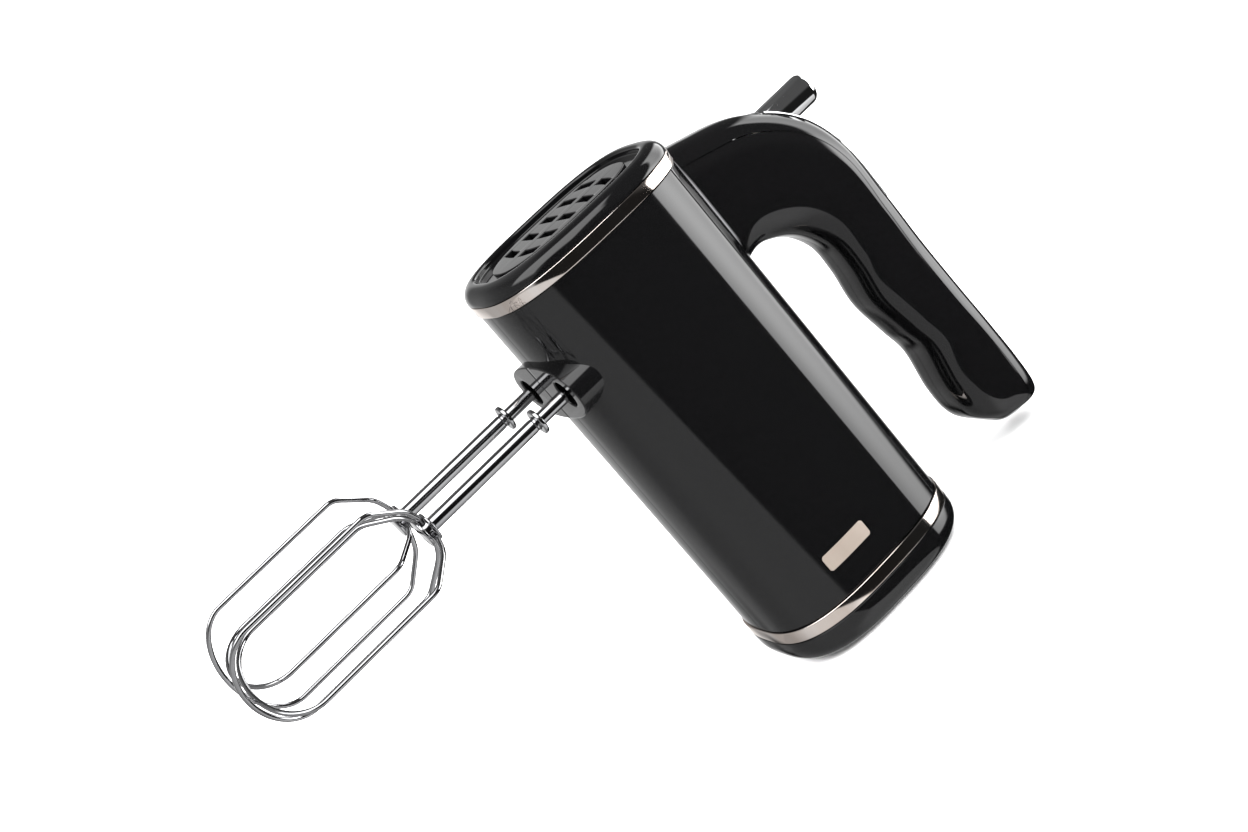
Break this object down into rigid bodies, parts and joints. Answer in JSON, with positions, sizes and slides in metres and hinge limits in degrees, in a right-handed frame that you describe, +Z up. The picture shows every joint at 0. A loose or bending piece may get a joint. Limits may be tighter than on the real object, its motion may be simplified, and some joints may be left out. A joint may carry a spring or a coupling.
{
  "type": "hand mixer",
  "caption": "Upright-standing hand mixer with a wire beater pair, arched grip, vented cap, speed and eject knob, burst button, worm drive and motor.",
  "frame": {"origin": "centre of the flat heel of the rear cap, on the surface the mixer stands on", "axes": "+Z up along the motor housing to the vented cap, +X towards the handle, beaters point along -X, +Y completes the frame (left side)"},
  "size_m": [0.2932, 0.0811, 0.18],
  "materials": {
    "gloss_black": "polished",
    "warm_chrome": "warm tinted mirror plating",
    "chrome": "mirror plating",
    "steel": "ground",
    "laminations": "stacked sheet",
    "copper": "enamelled wire, stands in for copper",
    "brass": "turned",
    "carbon": "pressed carbon",
    "nylon": "moulded",
    "grey_plastic": "moulded",
    "board": "coated",
    "rubber": "moulded"
  },
  "bodies": {
    "housing": {"body_shell_left": "gloss_black", "body_shell_right": "gloss_black", "front_cap": "gloss_black", "rear_cap": "gloss_black", "handle_back_cover": "gloss_black", "handle_shell_left": "gloss_black", "handle_shell_right": "gloss_black", "front_ring": "warm_chrome", "rear_ring": "warm_chrome", "badge_plate": "warm_chrome", "handle_base_trim": "chrome", "control_bezel": "chrome", "shell_screw_1": "steel", "shell_screw_2": "steel", "shell_screw_3": "steel", "shell_screw_4": "steel", "ejector_spring": "steel", "motor_stator": "laminations", "field_coil_upper": "copper", "field_coil_lower": "copper", "spindle_bush_left": "brass", "spindle_bush_right": "brass", "rear_motor_bush": "brass", "front_motor_bush": "brass", "brush_holder_left": "brass", "brush_holder_right": "brass", "carbon_brush_left": "carbon", "carbon_brush_right": "carbon", "gearbox_frame": "grey_plastic", "ejector_guide": "grey_plastic", "rear_motor_bracket": "grey_plastic", "front_motor_bracket": "grey_plastic", "speed_switch": "grey_plastic", "control_board": "board", "cord_gland": "rubber"},
    "rotor": {"motor_shaft": "steel", "armature_core": "laminations", "armature_winding": "copper", "commutator": "copper", "worm": "steel", "cooling_fan": "grey_plastic"},
    "gear_left": {"drive_gear_left": "nylon", "spindle_left": "steel"},
    "gear_right": {"drive_gear_right": "nylon", "spindle_right": "steel"},
    "beater_left": {"beater_shaft_left": "chrome", "beater_collar_left": "chrome", "beater_hub_left": "chrome", "beater_outer_wire_left": "chrome", "beater_inner_wire_left": "chrome"},
    "beater_right": {"beater_shaft_right": "chrome", "beater_collar_right": "chrome", "beater_hub_right": "chrome", "beater_outer_wire_right": "chrome", "beater_inner_wire_right": "chrome"},
    "ejector": {"ejector_yoke": "nylon", "ejector_rod": "nylon"},
    "speed_knob": {"control_knob": "chrome"},
    "turbo": {"turbo_button": "chrome"}
  },
  "joints": [
    {"name": "motor_spin", "type": "hinge", "parent": "housing", "child": "rotor", "pos_m": [0, 0, 0.072], "axis": [0, 0, 1], "continuous": true},
    {"name": "gear_left_spin", "type": "hinge", "parent": "housing", "child": "gear_left", "pos_m": [0, 0.01805, 0.136], "axis": [1, 0, 0], "continuous": true},
    {"name": "gear_right_spin", "type": "hinge", "parent": "housing", "child": "gear_right", "pos_m": [0, -0.01805, 0.136], "axis": [1, 0, 0], "continuous": true},
    {"name": "eject_press", "type": "slide", "parent": "housing", "child": "ejector", "axis": [-1, 0, 0], "range_m": [0, 0.01], "stiffness_N_per_m": 300, "springref_m": -0.004, "deforming": ["ejector_spring"]},
    {"name": "beater_left_release", "type": "slide", "parent": "gear_left", "child": "beater_left", "axis": [-1, 0, 0], "range_m": [0, 0.01]},
    {"name": "beater_right_release", "type": "slide", "parent": "gear_right", "child": "beater_right", "axis": [-1, 0, 0], "range_m": [0, 0.01]},
    {"name": "speed_turn", "type": "hinge", "parent": "ejector", "child": "speed_knob", "pos_m": [0.09, 0, 0.1513], "axis": [1, 0, 0], "range_deg": [0, 150]},
    {"name": "turbo_press", "type": "slide", "parent": "housing", "child": "turbo", "axis": [-1, 0, 0], "range_m": [0, 0.0012], "stiffness_N_per_m": 500, "springref_m": -0.0005}
  ],
  "couplings": [
    {"joint": "gear_left_spin", "follows": "motor_spin", "ratio": 0.1},
    {"joint": "gear_right_spin", "follows": "motor_spin", "ratio": -0.1},
    {"joint": "beater_left_release", "follows": "eject_press", "ratio": 1},
    {"joint": "beater_right_release", "follows": "eject_press", "ratio": 1}
  ]
}
